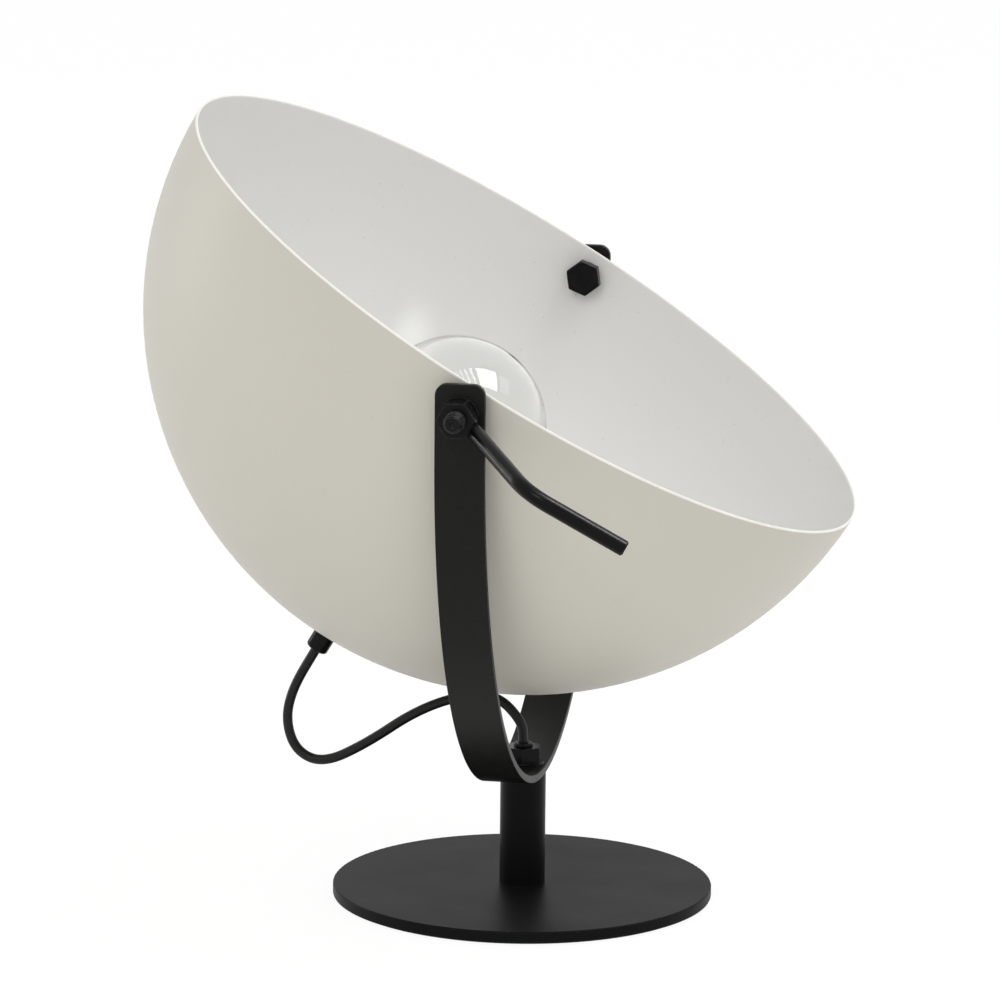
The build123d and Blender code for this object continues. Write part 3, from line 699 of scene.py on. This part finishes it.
def thread_tree():
    tree, (radius, tooth, pitch, turns) = new_tree(
        "rolled_thread", radius="Float", tooth="Float", pitch="Float", turns="Float")
    helix = Wire.node(tree, "GeometryNodeCurveSpiral", None,
                      {"Resolution": 40, "Rotations": turns, "Start Radius": radius,
                       "End Radius": radius, "Height": pitch * turns})
    level = Wire.node(tree, "GeometryNodeSetCurveNormal", {"mode": "Z_UP"}, {"Curve": helix})
    along = Wire.node(tree, "GeometryNodeSplineParameter", out="Factor")
    fade = ((1 - along) * turns + 0.03).math("MINIMUM", 1.0)
    end_tree(tree, swept(tree, level, ring_profile(tree, tooth, 4), fade, False),
             hardware_black)
    return tree


bolt_thread = thread_tree()
for side, place, proud in (("lever_side", at_lever_end, 9.5 * mm),
                           ("plain_side", at_plain_end, 3.0 * mm)):
    length = proud - thread_stop
    grown("bolt_thread_" + side, bolt_thread,
          place @ Matrix.Translation((0, 0, nut_face - thread_tuck)), "shade",
          "blackened_steel", radius=thread_core, tooth=thread_tooth, pitch=thread_pitch,
          turns=length / thread_pitch)

# %% [markdown]
# ## Weld at the lever's root
# The lever's bar meets one flat of its nut at a slant, so the joint is an oval.  A
# welder runs one bead round it and stops at the nut's outer face.  The bead is a bent
# tube whose thickness follows a little noise, which gives the ripples.

# %% Weld bead
lever_drop = 28.0               # degrees below the horizontal
nut_half_width = 8.5 * mm
weld_reach = 217.65 * mm        # outwards along the tilt axis
flat_place = at_lever_end @ Matrix.Rotation(math.radians(-lever_drop), 4, "Z")
weld_centre = flat_place @ Vector((nut_half_width, 0, weld_reach))
outwards = (flat_place.to_3x3() @ Vector((1, 0, 0))).normalized()
sideways = (flat_place.to_3x3() @ Vector((0, 1, 0))).normalized()


def weld_tree():
    tree, (wide, long, bead, start, sweep) = new_tree(
        "weld_bead", wide="Float", long="Float", bead="Float", start="Float", sweep="Float")
    circle = Wire.node(tree, "GeometryNodeCurveArc", {"mode": "RADIUS"},
                       {"Resolution": 90, "Radius": 1.0, "Start Angle": start,
                        "Sweep Angle": sweep})
    stretch = Wire.node(tree, "ShaderNodeCombineXYZ", None, {"X": wide, "Y": long, "Z": 1.0})
    oval = Wire.node(tree, "GeometryNodeTransform", None,
                     {"Geometry": circle, "Scale": stretch})
    where = Wire.node(tree, "GeometryNodeInputPosition")
    ripple = noise(tree, where, 1100, 1.0) * 0.7 + 0.65
    end_tree(tree, swept(tree, oval, ring_profile(tree, bead, 10), ripple), lever_black)
    return tree


grown("weld_bead", weld_tree(), local_frame(weld_centre, sideways, outwards), "lever",
      "blackened_steel", wide=4.1 * mm, long=6.8 * mm, bead=0.75 * mm,
      start=math.radians(156), sweep=math.radians(228))

# %% [markdown]
# ## Grip ribs on the lampholder
# A moulded lampholder has a ring of small ribs, so that fingers can screw it together.
# One rib is a line whose thickness swells from its ends, and a ring of points carries
# the copies.

# %% Grip ribs
def rib_tree():
    tree, (skirt, rib, length, count) = new_tree(
        "grip_ribs", skirt="Float", rib="Float", length="Float", count="Int")
    top = Wire.node(tree, "ShaderNodeCombineXYZ", None, {"Z": length})
    line = Wire.node(tree, "GeometryNodeCurvePrimitiveLine", None, {"End": top})
    line = Wire.node(tree, "GeometryNodeResampleCurve", None, {"Curve": line, "Count": 9})
    along = Wire.node(tree, "GeometryNodeSplineParameter", out="Factor")
    from_middle = (along * 2.0 - 1.0).math("ABSOLUTE")
    swell = (1.03 - from_middle.math("POWER", 6.0)).math("SQRT")
    one = swept(tree, line, ring_profile(tree, rib, 8), swell)
    posts = Wire.node(tree, "GeometryNodeMeshCircle", None,
                      {"Vertices": count, "Radius": skirt})
    end_tree(tree, Wire.node(tree, "GeometryNodeInstanceOnPoints", None,
                             {"Points": posts, "Instance": one}), moulded_black)
    return tree


holder_lip = -139.348 * mm
ribs_below_lip = 30.5 * mm
grown("holder_ribs", rib_tree(),
      in_bowl @ Matrix.Translation((0, 0, holder_lip - ribs_below_lip)), "shade",
      "black_bakelite", skirt=19.1 * mm, rib=0.95 * mm, length=19.0 * mm, count=30)

# %% [markdown]
# ## Screw shell of the bulb
# The shell is thin sheet with a rounded thread rolled into it, so it isn't a lathe
# shape: its radius depends on the height and on the angle together.  A flat grid is
# rolled up, and each point's radius comes from one cosine.  The thread fades out at
# both ends, where the sheet stays a plain ring.

# %% Screw shell
shell_radius = 13.05 * mm
shell_rim = -137.048 * mm
shell_length = 22.0 * mm


def shell_tree():
    tree, (radius, depth, pitch, height, collar) = new_tree(
        "screw_shell", radius="Float", depth="Float", pitch="Float", height="Float",
        collar="Float")
    grid = Wire.node(tree, "GeometryNodeMeshGrid", None,
                     {"Size X": 1.0, "Size Y": 1.0, "Vertices X": 73, "Vertices Y": 89})
    where = Wire.node(tree, "GeometryNodeInputPosition")
    split = Wire.node(tree, "ShaderNodeSeparateXYZ", None, {"Vector": where}).socket.node
    around = (Wire(tree, split.outputs["X"]) + 0.5) * (2 * math.pi)
    rise = (Wire(tree, split.outputs["Y"]) + 0.5) * height
    wave = 0.5 - (rise * (2 * math.pi) / pitch - around).math("COSINE") * 0.5
    from_top = ((height - collar - rise) / pitch).math("MAXIMUM", 0.0)
    from_end = (rise / pitch).math("MAXIMUM", 0.0)
    fade = from_top.math("MINIMUM", from_end).math("MINIMUM", 1.0)
    reach = radius - depth * wave * fade
    rolled = Wire.node(tree, "ShaderNodeCombineXYZ", None,
                       {"X": reach * around.math("COSINE"), "Y": reach * around.math("SINE"),
                        "Z": rise})
    tube = Wire.node(tree, "GeometryNodeSetPosition", None,
                     {"Geometry": grid, "Position": rolled})
    closed = Wire.node(tree, "GeometryNodeMergeByDistance", None,
                       {"Geometry": tube, "Distance": 1e-6})
    end_tree(tree, Wire.node(tree, "GeometryNodeSetShadeSmooth", None,
                             {"Geometry": closed, "Shade Smooth": True}), nickel)
    return tree


screw_shell = grown("screw_shell", shell_tree(),
                    in_bowl @ Matrix.Translation((0, 0, shell_rim - shell_length)), "bulb",
                    "nickelled_cap", radius=shell_radius, depth=0.9 * mm, pitch=3.6 * mm,
                    height=shell_length, collar=6.5 * mm)
sheet = screw_shell.modifiers.new("sheet", "SOLIDIFY")
sheet.thickness, sheet.offset = 0.4 * mm, -1.0
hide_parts("bulb_cap")
print("screw shell wall in mm", round(sheet.thickness / mm, 2))

# %% [markdown]
# ## Filament
# A filament is a wire wound into a fine coil, and the coil is bent into a broken ring.
# One long line is enough: each point is moved to its place on the coil, which turns
# quickly round the ring while the ring turns slowly round the bulb's axis.

# %% Wound filament
def filament_tree():
    tree, (ring, coil, wire, sweep, turns) = new_tree(
        "wound_filament", ring="Float", coil="Float", wire="Float", sweep="Float",
        turns="Int")
    line = Wire.node(tree, "GeometryNodeCurvePrimitiveLine")
    line = Wire.node(tree, "GeometryNodeResampleCurve", None,
                     {"Curve": line, "Count": turns * 8.0})
    along = Wire.node(tree, "GeometryNodeSplineParameter", out="Factor")
    slow, quick = along * sweep, along * turns * (2 * math.pi)
    reach = ring + coil * quick.math("COSINE")
    wound = Wire.node(tree, "ShaderNodeCombineXYZ", None,
                      {"X": reach * slow.math("COSINE"), "Y": reach * slow.math("SINE"),
                       "Z": coil * quick.math("SINE")})
    line = Wire.node(tree, "GeometryNodeSetPosition", None,
                     {"Geometry": line, "Position": wound})
    end_tree(tree, swept(tree, line, ring_profile(tree, wire, 5)), drawn_wire)
    return tree


filament_height = -80.448 * mm
filament_start = -35.0          # degrees; the ring's gap is centred on -90
filament = grown("wound_filament", filament_tree(),
                 in_bowl @ Matrix.Translation((0, 0, filament_height))
                 @ Matrix.Rotation(math.radians(filament_start), 4, "Z"), "bulb",
                 "filament_wire",
                 ring=14.0 * mm, coil=0.42 * mm, wire=0.10 * mm,
                 sweep=math.radians(250.0), turns=110)
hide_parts("bulb_filament")

# %% [markdown]
# ## Floor and room
# The lamp stands on a pale floor in a white room.  Both are pure white only to the eye
# and in reflections.  The light that falls on the lamp stays moderate, so its paint
# keeps its own colour, and the floor still takes a faint shadow.

# %% Floor
floor_glow = 1.04               # how bright the floor looks
floor_glow_share = 0.88         # the rest of what is seen is its own shaded paint


def floor_piece(reach):
    mesh = bpy.data.meshes.new("floor")
    mesh.from_pydata([(-reach, -reach, 0), (reach, -reach, 0), (reach, reach, 0),
                      (-reach, reach, 0)], [], [(0, 1, 2, 3)])
    piece = bpy.data.objects.new("floor", mesh)
    bpy.context.scene.collection.objects.link(piece)
    material, tree, shader = new_finish("pale_floor")
    shader.inputs["Base Color"].default_value = (0.93, 0.93, 0.92, 1.0)
    shader.inputs["Roughness"].default_value = 0.9
    shader.inputs["Specular IOR Level"].default_value = 0.1
    bright = Wire.node(tree, "ShaderNodeEmission", None,
                       {"Color": (1.0, 1.0, 1.0, 1.0), "Strength": floor_glow})
    end_in(tree, Wire.node(tree, "ShaderNodeMixShader", None,
                           {0: seen_directly(tree) * floor_glow_share,
                            1: Wire(tree, shader.outputs[0]), 2: bright}))
    mesh.materials.append(material)
    return piece


floor_piece(30.0)
print("floor laid")


# %% White room
def white_room(fill):
    world = bpy.data.worlds.new("white_room")
    bpy.context.scene.world = world
    world.use_nodes = True
    tree = world.node_tree
    background = tree.nodes["Background"]
    background.inputs["Color"].default_value = (1.0, 1.0, 1.0, 1.0)
    strength = fill + seen_directly(tree) * (1.0 - fill)
    tree.links.new(strength.socket, background.inputs["Strength"])


white_room(fill=0.63)
print("white room ready")

# %% [markdown]
# ## Lamps
# Three soft boxes light the paint: the key box high on the lever's side, a low box under
# it, and one in front.  A narrow strip stands behind.  Gloss mirrors only the key box and
# the strip, the others are hidden from it, and none is seen through glass.

# %% Soft boxes
def area_lamp(name, width, height, watts, colour, place, mirrored=False):
    light = bpy.data.lights.new(name, "AREA")
    light.shape = "RECTANGLE"
    light.size, light.size_y = width, height
    light.energy = watts
    light.color = colour
    lamp = bpy.data.objects.new(name, light)
    lamp.matrix_world = place
    lamp.visible_camera = lamp.visible_transmission = False
    lamp.visible_glossy = mirrored
    bpy.context.scene.collection.objects.link(lamp)


def facing(place, target):
    """A matrix at place whose local -Z points at target."""
    turn = (Vector(target) - Vector(place)).to_track_quat("-Z", "Y")
    return Matrix.Translation(place) @ turn.to_matrix().to_4x4()


middle = (0.0, 0.0, 0.25)
warm, neutral = (1.0, 0.985, 0.95), (1.0, 1.0, 1.0)
area_lamp("key_box", width=0.7, height=0.7, watts=7.5, colour=warm,
          place=facing((-1.75, 0.4, 1.75), middle), mirrored=True)
area_lamp("low_box", width=1.2, height=1.2, watts=6.5, colour=warm,
          place=facing((-2.2, 0.6, 0.35), middle))
area_lamp("front_box", width=1.4, height=1.4, watts=6.0, colour=neutral,
          place=facing((0.2, -2.4, 0.9), middle))
area_lamp("side_strip", width=0.20, height=1.5, watts=10.0, colour=neutral,
          place=facing((0.71, 2.3, 0.87), middle), mirrored=True)

# %% [markdown]
# ## Window and blind
# What makes glass read as glass is the window it mirrors.  A lamp gives the window's
# light, and bright panes that only reflections see give its picture: one pane, a row
# of narrow strips beside it for the blind, and a dimmer pane on the other side.  They
# hang on a line from the globe's centre, where the side of the globe that faces both
# them and the camera mirrors them.

# %% Window and blind
globe_centre = in_bowl @ Vector((0, 0, globe_height))
to_window = Vector((0.0983, -0.4981, 0.8626)).normalized()
across_window = Vector((0.5403, -0.6997, -0.4669)).normalized()
window_distance = 2.2
pane_lift = -0.22               # the panes hang below the middle of the window's lamp
window_place = local_frame(globe_centre + to_window * window_distance, across_window,
                           to_window)
area_lamp("window", width=1.0, height=1.4, watts=19.0, colour=neutral, place=window_place)


def mirrored_pane(name, middle_x, width, height, strength):
    mesh = bpy.data.meshes.new(name)
    x, y = width / 2, height / 2
    mesh.from_pydata([(-x, -y, 0), (x, -y, 0), (x, y, 0), (-x, y, 0)], [], [(0, 1, 2, 3)])
    mesh.transform(window_place @ Matrix.Translation((middle_x, pane_lift, 0)))
    strip = bpy.data.objects.new(name, mesh)
    bpy.context.scene.collection.objects.link(strip)
    material, tree, _ = new_finish(name + "_glow")
    end_in(tree, Wire.node(tree, "ShaderNodeEmission", None,
                           {"Color": (1.0, 1.0, 1.0, 1.0), "Strength": strength}))
    mesh.materials.append(material)
    strip.visible_camera = strip.visible_diffuse = strip.visible_shadow = False
    strip.visible_transmission = False


first_strip, strip_step = -0.62, 0.25
mirrored_pane("window_pane", middle_x=0.0, width=0.80, height=1.05, strength=20.0)
for number, strength in enumerate((13.0, 11.0, 9.0, 6.0)):
    mirrored_pane(f"blind_strip_{number}", middle_x=first_strip - strip_step * number,
                  width=0.10, height=1.0, strength=strength)
mirrored_pane("half_pane", middle_x=0.78, width=0.50, height=0.9, strength=3.5)
print("window and blind hang at", [round(v, 2) for v in window_place.translation])

# %% [markdown]
# ## Glow on the bowl's wall
# A small soft patch of light lies on the far wall of the bowl, beside the bulb.  One
# narrow, slightly cool spot lamp makes it, hidden from the camera, gloss and glass.

# %% Glow on the bowl's wall
glow_spot = Vector((169.3, 91.8, 265.0)) * mm
to_lamp = Vector((-0.30, -0.515, 0.80)).normalized()
lamp_distance = 0.8
light = bpy.data.lights.new("glow", "SPOT")
light.energy, light.spot_size, light.spot_blend = 19.0, math.radians(1.25), 1.0
light.color = (0.96, 0.98, 1.0)
light.shadow_soft_size = 0.01
glow = bpy.data.objects.new("glow", light)
glow.matrix_world = facing(glow_spot + to_lamp * lamp_distance, glow_spot)
glow.visible_glossy = glow.visible_camera = glow.visible_transmission = False
bpy.context.scene.collection.objects.link(glow)
print("glow aimed at", [round(v / mm) for v in glow_spot])
